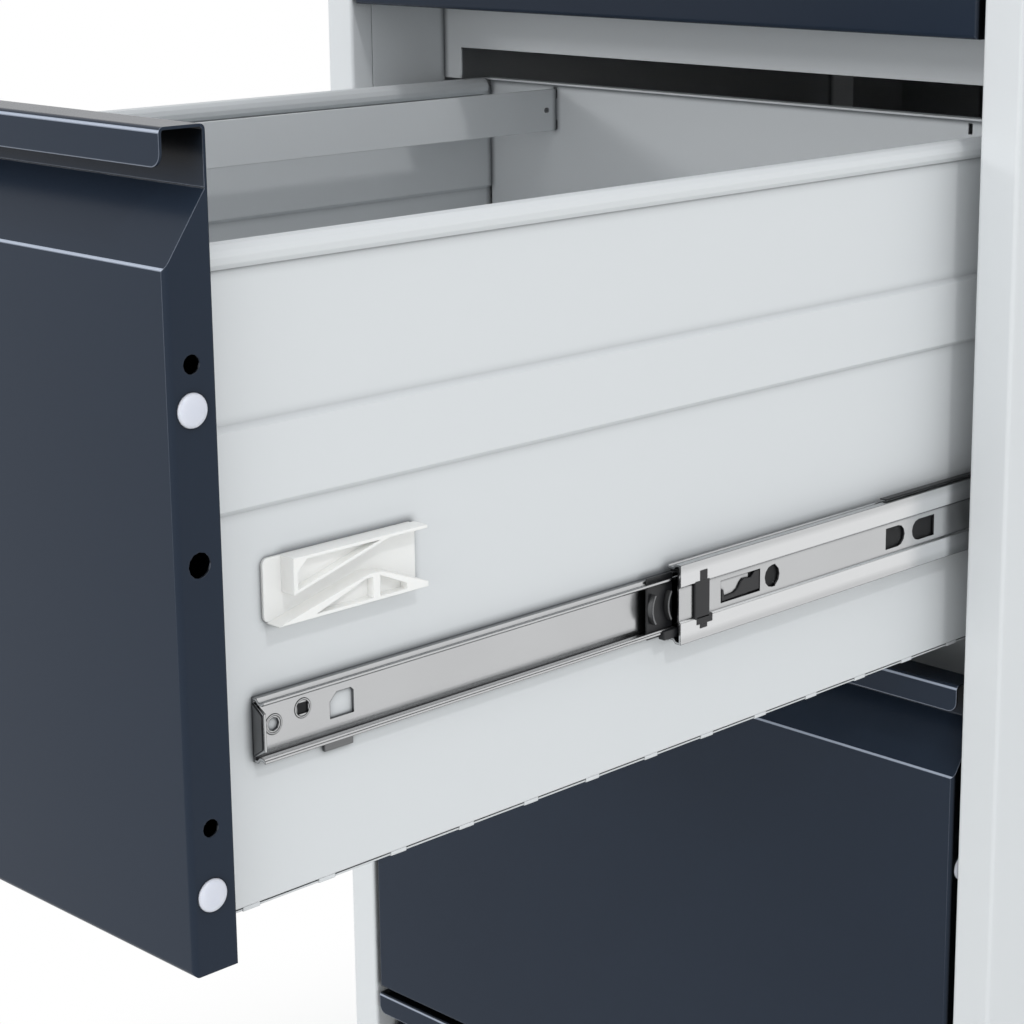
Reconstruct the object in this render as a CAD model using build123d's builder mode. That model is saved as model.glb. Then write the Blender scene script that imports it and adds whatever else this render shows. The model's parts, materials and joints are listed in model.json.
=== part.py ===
"""Four-drawer filing cabinet in folded sheet steel, with its second drawer pulled out.

Millimetres, +Z up, fronts facing -Y. The origin is on the floor, under the middle of the carcass.
Pieces of a drawer are drawn once, closed, in the drawer's own frame: X is 0 on the middle of the
cabinet, Y is 0 on the front face and Z is 0 on the lower edge of the front. Each drawer gets a copy.
"""

import os
from math import copysign, cos, pi, sin

from build123d import *

os.makedirs("parts", exist_ok=True)

# Carcass
cabinet_width = 460.0
cabinet_depth = 620.0
drawer_count = 4
sheet = 1.0  # thickness of the carcass and drawer sheet
bend_radius = 2.0  # outside radius of a bend
round_sides = 12  # sides that repeated rounds are drawn with
small_round_sides = 8  # the same for the smallest ones
post_width = 20.5  # width of the post that each side panel folds into at the front
post_return = 14.4  # how far the post turns back into the cabinet
rear_return = 15.0
seam = 0.3  # gap left where two sheets butt
cap_height = 25.0
header_height = 61.2
header_return = 15.0
plinth_height = 96.3
plinth_return = 30.0  # shelf at the top of the plinth
base_tray_height = 20.0
edge_lip = 10.0  # last fold of a rail, which stiffens its free edge

# Drawer fronts
front_height = 286.5
front_depth = 17.9
front_side_gap = 3.0
front_gap = 3.7  # between one front and the next
front_border = 7.0  # width of the fold round the back of a front
lip_height = 12.8  # finger lip of the handle
lip_corner = 5.0
handle_head = 19.3  # from the top of the front down to the bend above the slope
handle_foot = 45.0  # from the top of the front down to the foot of the slope
inner_front_top = 39.5  # from the top of the front down to the inner front
inner_front_base = 5.0
inner_front_inset = 3.5
inner_front_lap = 4.0  # how far the inner front laps the pan's folded border at its top

# Drawer body
rear_clearance = 98.7  # from the back of a closed drawer to the back of the cabinet
side_base = 12.7
side_drop = 40.6  # from the top of the front down to the top of the sides
side_flange = 12.0
hem_radius = 4.8
hem_inset = 1.3  # how far the middle of the rolled hem lies inside the side's outer face
hem_end = 7.3  # the hem stops this far short of the back
band_level = 155.5  # lower edge of the side's raised band
band_height = 27.0
band_rise = 2.0
corner_slot_width = 4.0
corner_slot_height = 22.0
corner_slot_base = 128.0
back_flange = 7.0

# File bar, a strip that hanging files ride on, hooked into the inner front and the back
bar_offset = 141.0
bar_thickness = 1.5
bar_height = 23.0
bar_drop = 3.6  # from the top of the sides down to the bar
hook_reach = 2.0
hook_height = 4.3
hook_inset = 1.7
hook_clearance = 0.5
bar_hole_radius = 1.5
bar_hole_setback = 7.0

# Side slides, three members a side
slide_thickness = 12.7
slide_gauge = 1.0
slide_pad = 2.5  # raised pads on the uprights that the slides are fixed to
slide_pad_length = 20.0
slide_pad_height = 30.0
slide_level = 76.3  # middle of the slides above the lower edge of the front
slide_setback = 37.1
slide_tail = 34.2  # from the rear end of a slide to the back of the drawer
cabinet_member_half = 22.75
cabinet_member_depth = 8.7
middle_setback = 29.1
middle_half = 16.6
middle_outer = 10.0  # from the drawer's side to the outer face of the middle member
middle_inner = 2.6
middle_web_inset = 1.0
middle_web_half = 7.6
drawer_member_half = 11.8
drawer_member_depth = 6.5
race_depth = 1.3  # how far a ball race is rolled into a flange
stop_tab_half = 6.9
slide_window_half = 4.7
cage_outer = 7.7
cage_inner = 3.2
cage_half = 13.6
cage_gauge = 0.8
cage_lead = 18.2  # how far a ball cage stands out of the middle member at full travel
cage_margin = 4.6
race_lip = 0.6
race_width = 1.4
middle_race_width = 2.0
web_step = 0.8
notch_radius = 2.5
notch_start = 8.4  # middle of the round notch in the drawer member, from its front end
latch_hole_start = 21.4
latch_hole_rise = 2.6  # above the middle of the slide
latch_hole_length = 4.8
latch_hole_height = 4.0
window_start = 33.7
window_length = 10.9
window_corner = 1.2  # cut off the window's upper rear corner
window_slant = 3.2  # cut off its upper front corner
hanger_start = 30.6  # tab that hangs below the drawer member
hanger_length = 12.8
hanger_drop = 4.2
lever_window_start = 25.4
lever_window_length = 24.5
front_round_windows = ((53.0, 6.7), (153.7, 16.1))  # start and length, with a round front end
rear_round_windows = ((134.8, 13.4),)
middle_share = 0.5  # travel of the middle member as a share of the drawer's
cage_share = 0.75
drawer_unopened_travel = 18.4  # travel that the open drawer has left
open_drawer = 2  # counted from the top

# Nylon lock cam on a drawer's right side; below its height, sizes count from its front lower corner
cam_setback = 42.9
cam_base = 113.1
cam_plate = 1.2
cam_depth = 8.2  # from the drawer's side to the outer face of the jaws
cam_pocket_depth = 3.4
cam_wall = 1.2
cam_corner = 2.5
cam_length = 69.1
cam_height = 22.9
cam_block_start = 7.9
cam_block_wall = 1.9
cam_block_foot = 9.8
cam_slope_end = 51.4  # end of the slope under the upper jaw
cam_upper_tip = 1.2  # thickness of the upper jaw's tip
cam_gusset = 4.2  # corner left standing in the upper pocket
cam_lower_start = 0.7
cam_peak_run = 44.7
cam_peak_rise = 11.2
cam_peak_radius = 18.0
cam_lower_tip = 1.9
cam_front_pocket_start = 17.5
cam_pocket_top = 8.9
cam_web_start = 43.3  # web between the two pockets of the lower jaw
cam_web = 3.2
cam_rear_pocket_end = 59.0
cam_rear_pocket_rise = 3.3

# Locking bar; unlocked, its pins stand below the cams, and raised, they stand before the cams' blocks
pin_radius = 2.5
pin_setback = 40.2
pin_drop = 2.9  # from a cam's lower edge down to the middle of its pin
pin_clearance = 0.7
pin_slot_clearance = 0.8
lock_travel = 15.0
lock_bar_width = 14.0
lock_bar_thickness = 3.0
lock_bar_inset = 2.0  # from the upright's sheet to the bar
lock_bar_foot = 60.0
lock_arm_height = 4.0
barrel_radius = 8.0
barrel_face_radius = 10.5
barrel_face = 2.0
barrel_inset = 16.5  # from the post to the middle of the lock
barrel_drop = 38.0  # from the top of the cabinet to the middle of the lock
snail_small = 8.0
snail_thickness = 4.0
snail_margin = 0.35  # radians that the snail's slope runs on past its working quarter
snail_clearance = 0.8
snail_steps = 12
keyway_width = 2.0
keyway_height = 9.0
keyway_depth = 6.0

# Uprights, cross rails and feet
upright_end = 68.6  # rear of the front upright, and front of the cross rails
rear_upright_width = 55.0
cross_rail_height = 35.9
cross_rail_depth = 25.0
cross_rail_drop = 26.8  # from the lower edge of a front down to the foot of the rail behind it
ear_width = 13.7
ear_drop = 15.4
foot_radius = 15.0
foot_pad = 4.0
foot_stem_radius = 4.0
foot_stem_height = 38.0
foot_nut_size = 13.0
foot_nut_height = 6.5
foot_inset = 48.0
foot_clearance = 0.5
foot_pocket_clearance = 2.0

# Nylon bumpers and holes in the sides of a front
bumper_radius = 5.9
bumper_rise = 1.9
bumper_taper = 45.0  # degrees that a bumper's edge leans inwards
bumper_setback = 8.4
bumper_levels = (28.0, front_height - 91.4)
flange_holes = ((51.8, 3.25), (front_height - 143.3, 4.5), (front_height - 76.4, 3.35))  # level and radius

# Places worked out from the sizes
pitch = front_height + front_gap
first_level = plinth_height + front_gap
cabinet_height = first_level + drawer_count * pitch + header_height
half_width = cabinet_width / 2
half_depth = cabinet_depth / 2
half_opening = half_width - post_width
half_front = half_opening - front_side_gap
wall_height = cabinet_height - cap_height
side_x = half_opening - slide_pad - slide_thickness
side_top = front_height - side_drop
pin_level = cam_base - pin_drop
drawer_length = cabinet_depth - rear_clearance
slide_length = drawer_length - slide_setback - slide_tail
front_levels = [first_level + step * pitch for step in reversed(range(drawer_count))]


def folded(plane, points, thickness=sheet, radius=bend_radius):
    """Section of a folded sheet: points run along its outer face, with the sheet on their left."""
    with BuildSketch(plane) as section:
        with BuildLine():
            outer = FilletPolyline(*points, radius=radius) if radius else Polyline(*points)
            offset(outer, amount=thickness, side=Side.LEFT, kind=Kind.INTERSECTION)
        make_face()
    return section.sketch


def both_sides(piece):
    """The piece and its mirror image across the middle of the cabinet, as separate solids."""
    with BuildPart() as pair:
        add(piece.part)
        mirror(about=Plane.YZ)
    return pair


def write(part, name):
    """Labels a finished piece and writes it."""
    part.label = name
    export_step(part, f"parts/{name}.step")


# Side panel: outer skin, front post and rear return in one folded sheet
with BuildPart() as side_panel_right:
    side_line = (
        (half_opening, -half_depth + post_return),
        (half_opening, -half_depth),
        (half_width, -half_depth),
        (half_width, half_depth),
        (half_width - rear_return, half_depth),
    )
    extrude(folded(Plane.XY, side_line), amount=wall_height)
side_panel_left = side_panel_right.part.mirror(Plane.YZ)

# Back panel, between the rear returns of the sides
with BuildPart() as back_panel:
    back_line = (
        (half_depth - sheet - edge_lip, base_tray_height),
        (half_depth - sheet, base_tray_height),
        (half_depth - sheet, wall_height),
        (half_depth - sheet - edge_lip, wall_height),
    )
    extrude(folded(Plane.YZ, back_line, radius=0), amount=half_width - bend_radius, both=True)

# Top: a shallow drawn cap, and the header that folds down from it above the first drawer
with BuildPart() as top_panel:
    with BuildSketch(Plane.XY.offset(wall_height)):
        Rectangle(cabinet_width, cabinet_depth)
    extrude(amount=cap_height)
    offset(amount=-sheet, openings=top_panel.faces().sort_by(Axis.Z)[0])
    fillet(top_panel.faces().sort_by(Axis.Z)[-1].edges(), radius=bend_radius)
    header_line = (
        (-half_depth, wall_height + bend_radius),
        (-half_depth, cabinet_height - header_height),
        (-half_depth + header_return, cabinet_height - header_height),
        (-half_depth + header_return, cabinet_height - header_height + edge_lip),
    )
    extrude(folded(Plane.YZ, header_line, radius=0), amount=half_opening - seam, both=True)
    with Locations((half_opening - barrel_inset, -half_depth, cabinet_height - barrel_drop)):
        Cylinder(barrel_radius, 2 * edge_lip, rotation=(90, 0, 0), mode=Mode.SUBTRACT)

# Base: plinth across the front, turned up against the tray, which has a pocket pressed over each foot
foot_places = [
    (x, y)
    for x in (-half_width + foot_inset, half_width - foot_inset)
    for y in (-half_depth + foot_inset, half_depth - foot_inset)
]
with BuildPart() as base_frame:
    tray_front = -half_depth + post_return + seam
    tray_back = half_depth - bend_radius
    with BuildSketch():
        with Locations((0, (tray_front + tray_back) / 2)):
            Rectangle(cabinet_width - 2 * sheet, tray_back - tray_front)
    extrude(amount=base_tray_height)
    offset(amount=-sheet, openings=base_frame.faces().sort_by(Axis.Z)[-1])
    plinth_line = (
        (-half_depth + plinth_return, plinth_height - edge_lip),
        (-half_depth + plinth_return, plinth_height),
        (-half_depth, plinth_height),
        (-half_depth, 0),
        (tray_front, 0),
        (tray_front, base_tray_height),
    )
    extrude(folded(Plane.YZ, plinth_line, radius=0), amount=half_opening - seam, both=True)
    pocket_size = 2 * (foot_radius + foot_pocket_clearance)
    with BuildSketch():
        with Locations(*foot_places):
            Rectangle(pocket_size + 2 * sheet, pocket_size + 2 * sheet)
    extrude(amount=foot_pad + sheet)
    with BuildSketch():
        with Locations(*foot_places):
            Rectangle(pocket_size, pocket_size)
    extrude(amount=foot_pad, mode=Mode.SUBTRACT)
    with BuildSketch(Plane.XY.offset(foot_pad)):
        with Locations(*foot_places):
            RegularPolygon(foot_stem_radius + foot_clearance, small_round_sides)
    extrude(amount=sheet, mode=Mode.SUBTRACT)

# Levelling feet: a pad in its pocket under the tray, a stem through it, and a nut on top
with BuildPart() as levelling_feet:
    with BuildSketch():
        with Locations(*foot_places):
            RegularPolygon(foot_radius, round_sides)
    extrude(amount=foot_pad)
    with BuildSketch(Plane.XY.offset(foot_pad)):
        with Locations(*foot_places):
            RegularPolygon(foot_stem_radius, small_round_sides)
    extrude(amount=foot_stem_height - foot_pad)
    with BuildSketch(Plane.XY.offset(foot_pad + sheet)):
        with Locations(*foot_places):
            RegularPolygon(foot_nut_size / 2, 6, major_radius=False)
    extrude(amount=foot_nut_height)

# Front uprights line the opening behind the posts; rear uprights carry the slides' other ends
front_upright_start = -half_depth + post_return + seam
front_upright_end = -half_depth + upright_end
rear_upright_end = -half_depth + slide_setback + slide_length + slide_pad_length / 2
rear_upright_start = rear_upright_end - rear_upright_width
upright_height = wall_height - base_tray_height


def upright_section(start, end):
    """Channel open towards the side panel."""
    outer = half_width - sheet
    line = ((outer, end), (half_opening, end), (half_opening, start), (outer, start))
    return folded(Plane.XY.offset(base_tray_height), line, radius=0)


with BuildPart() as plain_uprights:
    extrude(upright_section(front_upright_start, front_upright_end), amount=upright_height)
    extrude(upright_section(rear_upright_start, rear_upright_end), amount=upright_height)
    front_upright_middle = (front_upright_start + front_upright_end) / 2
    rear_upright_middle = (rear_upright_start + rear_upright_end) / 2
    for middle in (front_upright_middle, rear_upright_middle):
        for level in front_levels:
            with Locations((half_opening - slide_pad / 2, middle, level + slide_level)):
                Box(slide_pad, slide_pad_length, slide_pad_height)

lock_bar_y = -half_depth + pin_setback
arm_level = cabinet_height - barrel_drop + snail_small + snail_clearance
with BuildPart() as uprights:
    add(plain_uprights.part.mirror(Plane.YZ))
    add(plain_uprights.part)
    slot_width = 2 * (pin_radius + pin_slot_clearance)
    for level in front_levels:
        with BuildSketch(Plane.YZ.offset(half_opening - slide_pad)):
            with Locations((lock_bar_y, level + pin_level + lock_travel / 2)):
                Rectangle(slot_width, lock_travel + slot_width)
        extrude(amount=2 * slide_pad, mode=Mode.SUBTRACT)
    arm_slot = 2 * (wall_height - arm_level + snail_clearance)
    with Locations((half_opening, lock_bar_y, wall_height)):
        Box(4 * sheet, snail_thickness + 2 * pin_slot_clearance, arm_slot, mode=Mode.SUBTRACT)

# Cross rails between the drawers: channels with an ear turned down at each end
with BuildPart() as cross_rail:
    rail_line = (
        (front_upright_end + cross_rail_depth, cross_rail_height),
        (front_upright_end, cross_rail_height),
        (front_upright_end, 0),
        (front_upright_end + cross_rail_depth, 0),
    )
    extrude(folded(Plane.YZ, rail_line, radius=0), amount=half_width - sheet, both=True)
    with BuildSketch(Plane.XZ.offset(-front_upright_end)):
        ear_middle = half_opening - ear_width / 2
        with Locations((ear_middle, -ear_drop / 2), (-ear_middle, -ear_drop / 2)):
            Rectangle(ear_width, ear_drop + 2 * bend_radius)
    extrude(amount=-sheet)

with BuildPart() as cross_rails:
    for level in front_levels[:-1]:
        with Locations((0, 0, level - cross_rail_drop)):
            add(cross_rail.part)

# Front of a drawer: a folded pan whose slope leads up to the handle
slope_foot = front_height - handle_foot
slope_head = front_height - handle_head
with BuildPart() as front_panel:
    with BuildSketch(Plane.YZ):
        with BuildLine():
            Polyline((0, 0), (front_depth, 0), (front_depth, slope_head), (0, slope_foot), close=True)
        pan_face = make_face()
        fillet(pan_face.vertices().group_by(Axis.X)[0], radius=bend_radius)
    extrude(amount=half_front, both=True)
    with BuildSketch():
        with Locations((0, front_depth / 2)):
            pan_plan = Rectangle(2 * half_front, front_depth)
        fillet(pan_plan.vertices().group_by(Axis.Y)[0], radius=bend_radius)
    extrude(amount=slope_head, mode=Mode.INTERSECT)
    with BuildSketch(Plane.YZ):
        with BuildLine():
            Polyline((0, 0), (front_depth, 0), (front_depth, slope_head), (0, slope_foot), close=True)
            offset(amount=-sheet, kind=Kind.INTERSECTION, mode=Mode.REPLACE)
        make_face()
    extrude(amount=half_front - sheet, both=True, mode=Mode.SUBTRACT)
    window_top = front_height - inner_front_top - inner_front_lap
    with BuildSketch(Plane.XZ.offset(-front_depth + 2 * sheet)):
        with Locations((0, (front_border + window_top) / 2)):
            Rectangle(2 * (half_front - front_border), window_top - front_border)
    extrude(amount=-4 * sheet, mode=Mode.SUBTRACT)
    hood_line = (
        (0, front_height - lip_height),
        (0, front_height),
        (front_depth, front_height),
        (front_depth, slope_head - sheet),
    )
    with BuildSketch(Plane.YZ) as hood_section:
        with BuildLine():
            hood_outer = FilletPolyline(*hood_line, radius=bend_radius)
            offset(hood_outer, amount=sheet, side=Side.RIGHT, kind=Kind.INTERSECTION)
        make_face()
    extrude(amount=half_front, both=True)
    lip_ends = front_panel.edges().filter_by(Axis.Y).filter_by_position(Axis.Y, 0, 2 * sheet)
    lip_bottom = front_height - lip_height
    fillet(lip_ends.filter_by_position(Axis.Z, lip_bottom - sheet, lip_bottom + sheet), radius=lip_corner)
    with BuildSketch(Plane.YZ):
        for level, radius in flange_holes:
            with Locations((front_depth / 2, level)):
                RegularPolygon(radius, round_sides)
    extrude(amount=half_front, both=True, mode=Mode.SUBTRACT)

# Inner front: closes the pan and carries the sides and the front hooks of the file bar
bar_top = side_top - bar_drop
hook_levels = (bar_top - hook_height / 2, bar_top - bar_height + hook_inset + hook_height / 2)
slot_places = [(x, level) for x in (-bar_offset, bar_offset) for level in hook_levels]
slot_size = (bar_thickness + 2 * hook_clearance, hook_height + 2 * hook_clearance)
inner_front_height = front_height - inner_front_top - inner_front_base
with BuildPart() as inner_front:
    with BuildSketch(Plane.XZ.offset(-front_depth)):
        with Locations((0, inner_front_base + inner_front_height / 2)):
            Rectangle(2 * (half_front - inner_front_inset), inner_front_height)
        with Locations(*slot_places):
            Rectangle(*slot_size, mode=Mode.SUBTRACT)
    extrude(amount=-sheet)

# Sides of a drawer: bottom flange, raised band and a hem rolled outwards along the top
body_start = front_depth + sheet
band_top = band_level + band_height
with BuildPart() as side_right:
    side_line = (
        (side_x - side_flange, side_base),
        (side_x, side_base),
        (side_x, band_level - band_rise),
        (side_x + band_rise, band_level),
        (side_x + band_rise, band_top),
        (side_x, band_top + band_rise),
        (side_x, side_top - hem_radius),
    )
    side_section = folded(Plane.XZ.offset(-body_start), side_line, radius=0)
    extrude(side_section, amount=-(drawer_length - body_start))
    with BuildSketch(Plane.XZ.offset(-body_start)):
        with Locations((side_x - hem_inset, side_top - hem_radius)):
            RegularPolygon(hem_radius, round_sides)
            RegularPolygon(hem_radius - sheet, round_sides, mode=Mode.SUBTRACT)
    extrude(amount=-(drawer_length - hem_end - body_start))
    slot_middle = drawer_length - sheet - 1.5 * corner_slot_width
    with Locations((side_x, slot_middle, corner_slot_base + corner_slot_height / 2)):
        Box(4 * sheet, corner_slot_width, corner_slot_height, mode=Mode.SUBTRACT)
side_left = side_right.part.mirror(Plane.YZ)

# Bottom of a drawer, lying on the flanges of the sides
inside_half = side_x - sheet
bottom_level = side_base + sheet
with BuildPart() as drawer_bottom:
    with Locations((0, (body_start + drawer_length) / 2, bottom_level + sheet / 2)):
        Box(2 * (side_x - bend_radius), drawer_length - body_start, sheet)

# Back of a drawer, flanged forwards at its top and bottom
with BuildPart() as drawer_back:
    back_section = (
        (drawer_length - side_flange, bottom_level + sheet),
        (drawer_length, bottom_level + sheet),
        (drawer_length, side_top),
        (drawer_length - back_flange, side_top),
    )
    extrude(folded(Plane.YZ, back_section, radius=0), amount=inside_half, both=True)
    with BuildSketch(Plane.XZ.offset(-drawer_length + 2 * sheet)):
        with Locations(*slot_places):
            Rectangle(*slot_size)
    extrude(amount=-3 * sheet, mode=Mode.SUBTRACT)

# File bar, hooked through the slots at both ends
bar_end = drawer_length - sheet
with BuildPart() as file_bar:
    with BuildSketch(Plane.YZ.offset(-bar_offset - bar_thickness / 2)):
        with Locations(((body_start + bar_end) / 2, bar_top - bar_height / 2)):
            Rectangle(bar_end - body_start, bar_height)
        for level in hook_levels:
            with Locations(((body_start + bar_end) / 2, level)):
                Rectangle(bar_end - body_start + 2 * (hook_reach + sheet), hook_height)
        with Locations((bar_end - bar_hole_setback, bar_top - bar_height / 2)):
            RegularPolygon(bar_hole_radius, small_round_sides, mode=Mode.SUBTRACT)
    extrude(amount=bar_thickness)

# Nylon lock cam: a plate, and two jaws whose slanted channel the lock bar's pin runs through
cam_slope = (cam_height - cam_upper_tip - cam_block_foot) / (cam_slope_end - cam_block_start)
upper_pocket_start = cam_block_start + cam_block_wall
upper_pocket_top = cam_height - cam_wall
upper_pocket_foot = cam_block_foot + cam_block_wall * cam_slope + cam_wall
upper_jaw = (
    (cam_block_start, cam_height),
    (cam_block_start, cam_block_foot),
    (cam_slope_end, cam_height - cam_upper_tip),
    (cam_length, cam_height - cam_upper_tip),
    (cam_length, cam_height),
)
lower_jaw = (
    (cam_lower_start, 0),
    (cam_peak_run, cam_peak_rise),
    (cam_length, cam_lower_tip),
    (cam_length, 0),
)
upper_pocket = (
    (upper_pocket_start, upper_pocket_foot),
    (upper_pocket_start, upper_pocket_top - cam_gusset),
    (upper_pocket_start + cam_gusset, upper_pocket_top),
    (upper_pocket_start + (upper_pocket_top - upper_pocket_foot) / cam_slope, upper_pocket_top),
)
front_pocket = (
    (cam_front_pocket_start, cam_wall),
    (cam_web_start - cam_web, cam_pocket_top),
    (cam_web_start, cam_pocket_top),
    (cam_web_start, cam_wall),
)
rear_pocket = (
    (cam_web_start + cam_web, cam_pocket_top),
    (cam_rear_pocket_end, cam_rear_pocket_rise),
    (cam_rear_pocket_end, cam_wall),
    (cam_web_start + cam_web, cam_wall),
)


def cam_outline(points):
    """Closed outline on the cam, from points counted from its front lower corner."""
    with BuildSketch() as outline:
        with BuildLine():
            Polyline(*[(cam_setback + back, cam_base + up) for back, up in points], close=True)
        make_face()
    return outline.sketch


with BuildPart() as lock_cam:
    with BuildSketch(Plane.YZ.offset(side_x)):
        with Locations((cam_setback + cam_length / 2, cam_base + cam_height / 2)):
            RectangleRounded(cam_length, cam_height, cam_corner)
    extrude(amount=cam_plate)
    with BuildSketch(Plane.YZ.offset(side_x + cam_plate)):
        add(cam_outline(upper_jaw))
    extrude(amount=cam_depth - cam_plate)
    with BuildSketch(Plane.YZ.offset(side_x + cam_plate)) as lower_section:
        add(cam_outline(lower_jaw))
        fillet(lower_section.vertices().sort_by(Axis.Y)[-1], radius=cam_peak_radius)
    extrude(amount=cam_depth - cam_plate)
    for pocket in (upper_pocket, front_pocket, rear_pocket):
        with BuildSketch(Plane.YZ.offset(side_x + cam_depth)):
            add(cam_outline(pocket))
        extrude(amount=-cam_pocket_depth, mode=Mode.SUBTRACT)

# Nylon bumpers on the sides of a front
with BuildPart() as bumpers:
    with BuildSketch(Plane.YZ.offset(half_front)):
        for level in bumper_levels:
            with Locations((bumper_setback, level)):
                RegularPolygon(bumper_radius, small_round_sides)
    extrude(amount=bumper_rise, taper=bumper_taper)
    mirror(about=Plane.YZ)


def slide_section(points, start, gauge=slide_gauge):
    """Section of a rolled slide member; points give the distance from the drawer's side and from the
    slide's middle line."""
    line = [(side_x + out, slide_level + up) for out, up in points]
    return folded(Plane.XZ.offset(-start), line, gauge, radius=0)


# Drawer member of a slide: channel open outwards, with a ball race rolled into each flange
race = drawer_member_half - race_depth
race_start = drawer_member_depth - 2 * race_lip
drawer_member_upper = (
    (drawer_member_depth, race + race_lip),
    (drawer_member_depth - race_lip, race + race_lip),
    (race_start, race),
    (race_start - race_width, race),
    (race_start - race_width - race_depth, drawer_member_half),
    (0.0, drawer_member_half),
)
with BuildPart() as drawer_member:
    drawer_member_lower = [(out, -up) for out, up in reversed(drawer_member_upper)]
    extrude(slide_section([*drawer_member_upper, *drawer_member_lower], slide_setback), amount=-slide_length)
    with BuildSketch(Plane.XZ.offset(-slide_setback)):
        with BuildLine():
            tab_reach = side_x + drawer_member_depth
            tab_root = (side_x, slide_level - race)
            tab_head = (side_x, slide_level + race)
            Polyline(tab_root, (tab_reach, slide_level - stop_tab_half),
                     (tab_reach, slide_level + stop_tab_half), tab_head, close=True)
        make_face()
    extrude(amount=-slide_gauge)
    with BuildSketch(Plane.YZ.offset(side_x)):
        with BuildLine():
            front = slide_setback + window_start
            rear = front + window_length
            foot = slide_level - slide_window_half
            head = slide_level + slide_window_half
            Polyline((front, foot), (rear, foot), (rear, head - window_corner), (rear - window_corner, head),
                     (front + window_slant, head), (front, head - window_slant), close=True)
        make_face()
        with Locations((slide_setback + latch_hole_start, slide_level + latch_hole_rise)):
            Rectangle(latch_hole_length, latch_hole_height)
        with Locations((slide_setback + notch_start, slide_level)):
            RegularPolygon(notch_radius, small_round_sides)
    extrude(amount=2 * slide_gauge, mode=Mode.SUBTRACT)
    hanger_height = hanger_drop + slide_gauge
    with BuildSketch(Plane.YZ.offset(side_x)):
        with Locations((slide_setback + hanger_start + hanger_length / 2,
                        slide_level - drawer_member_half - hanger_drop + hanger_height / 2)):
            Rectangle(hanger_length, hanger_height)
    extrude(amount=slide_gauge)
drawer_members = both_sides(drawer_member)

# Middle member: channel open towards the drawer, with a recessed web between two flat bands
middle_race = middle_half - race_depth
middle_race_start = middle_inner + 2 * race_lip
middle_race_end = middle_race_start + middle_race_width
middle_lower = (
    (middle_inner, -middle_race - race_lip),
    (middle_inner + race_lip, -middle_race - race_lip),
    (middle_race_start, -middle_race),
    (middle_race_end, -middle_race),
    (middle_race_end + race_depth, -middle_half),
    (middle_outer, -middle_half),
    (middle_outer, -middle_web_half),
    (middle_outer - middle_web_inset, -middle_web_half + web_step),
)


def round_ended_window(straight_end, reach):
    """Window with one round end, which lies behind its straight end, or before it for a minus reach."""
    round_middle = straight_end + reach - copysign(slide_window_half, reach)
    with Locations(((straight_end + round_middle) / 2, slide_level)):
        Rectangle(abs(round_middle - straight_end), 2 * slide_window_half)
    with Locations((round_middle, slide_level)):
        RegularPolygon(slide_window_half, round_sides)


with BuildPart() as middle_member:
    middle_upper = [(out, -up) for out, up in reversed(middle_lower)]
    extrude(slide_section([*middle_lower, *middle_upper], middle_setback), amount=-slide_length)
    with BuildSketch(Plane.YZ.offset(side_x + middle_outer - 2 * slide_gauge - middle_web_inset)):
        with Locations((middle_setback + lever_window_start + lever_window_length / 2, slide_level)):
            Rectangle(lever_window_length, 2 * slide_window_half)
        for start, length in front_round_windows:
            round_ended_window(middle_setback + start + length, -length)
        for start, length in rear_round_windows:
            round_ended_window(middle_setback + start, length)
    extrude(amount=3 * slide_gauge + middle_web_inset, mode=Mode.SUBTRACT)
middle_members = both_sides(middle_member)

# Ball cage of the inner race, a thin channel between the two members
cage_start = middle_setback + (cage_share - middle_share) * slide_length - cage_lead
cage_end = slide_setback + cage_share * slide_length - cage_margin
cage_line = (
    (cage_inner, -cage_half),
    (cage_outer, -cage_half),
    (cage_outer, cage_half),
    (cage_inner, cage_half),
)
with BuildPart() as cage:
    extrude(slide_section(cage_line, cage_start, cage_gauge), amount=-(cage_end - cage_start))
cages = both_sides(cage)

# Cabinet member: channel open towards the drawer, fixed to the pads of the uprights
cabinet_member_line = (
    (slide_thickness - cabinet_member_depth, -cabinet_member_half),
    (slide_thickness, -cabinet_member_half),
    (slide_thickness, cabinet_member_half),
    (slide_thickness - cabinet_member_depth, cabinet_member_half),
)
with BuildPart() as cabinet_member:
    extrude(slide_section(cabinet_member_line, slide_setback), amount=-slide_length)
cabinet_member_pair = both_sides(cabinet_member)
with BuildPart() as cabinet_members:
    for level in front_levels:
        with Locations((0, -half_depth, level)):
            add(cabinet_member_pair.part)

# Lock bar, inside the right-hand upright
bar_face = half_opening + sheet + lock_bar_inset
lock_level = cabinet_height - barrel_drop
lock_x = half_opening - barrel_inset
with BuildPart() as lock_bar:
    with BuildSketch(Plane.XY.offset(lock_bar_foot)):
        with Locations((bar_face + lock_bar_thickness / 2, lock_bar_y)):
            Rectangle(lock_bar_thickness, lock_bar_width)
    extrude(amount=arm_level + lock_arm_height - lock_bar_foot)

# What the lock bar carries: a pin at each cam, and the arm over the lock
pin_end = side_x + cam_plate + pin_clearance
with BuildPart() as lock_pins:
    with BuildSketch(Plane.YZ.offset(pin_end)):
        for level in front_levels:
            with Locations((lock_bar_y, level + pin_level)):
                RegularPolygon(pin_radius, round_sides)
    extrude(amount=bar_face - pin_end)
    with BuildSketch(Plane.XY.offset(arm_level)):
        with Locations(((lock_x + bar_face) / 2, lock_bar_y)):
            Rectangle(bar_face - lock_x, snail_thickness)
    extrude(amount=lock_arm_height)

# Lock: plug through the header, with a keyway in its face and a snail that lifts the lock bar's arm
snail_back = lock_bar_y + snail_thickness / 2
snail_rate = lock_travel / (pi / 2)


def snail_point(angle):
    """Point on the snail, angle being measured to the left from straight up."""
    reach = snail_small + snail_rate * angle
    return (lock_x - reach * sin(angle), lock_level + reach * cos(angle))


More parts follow.
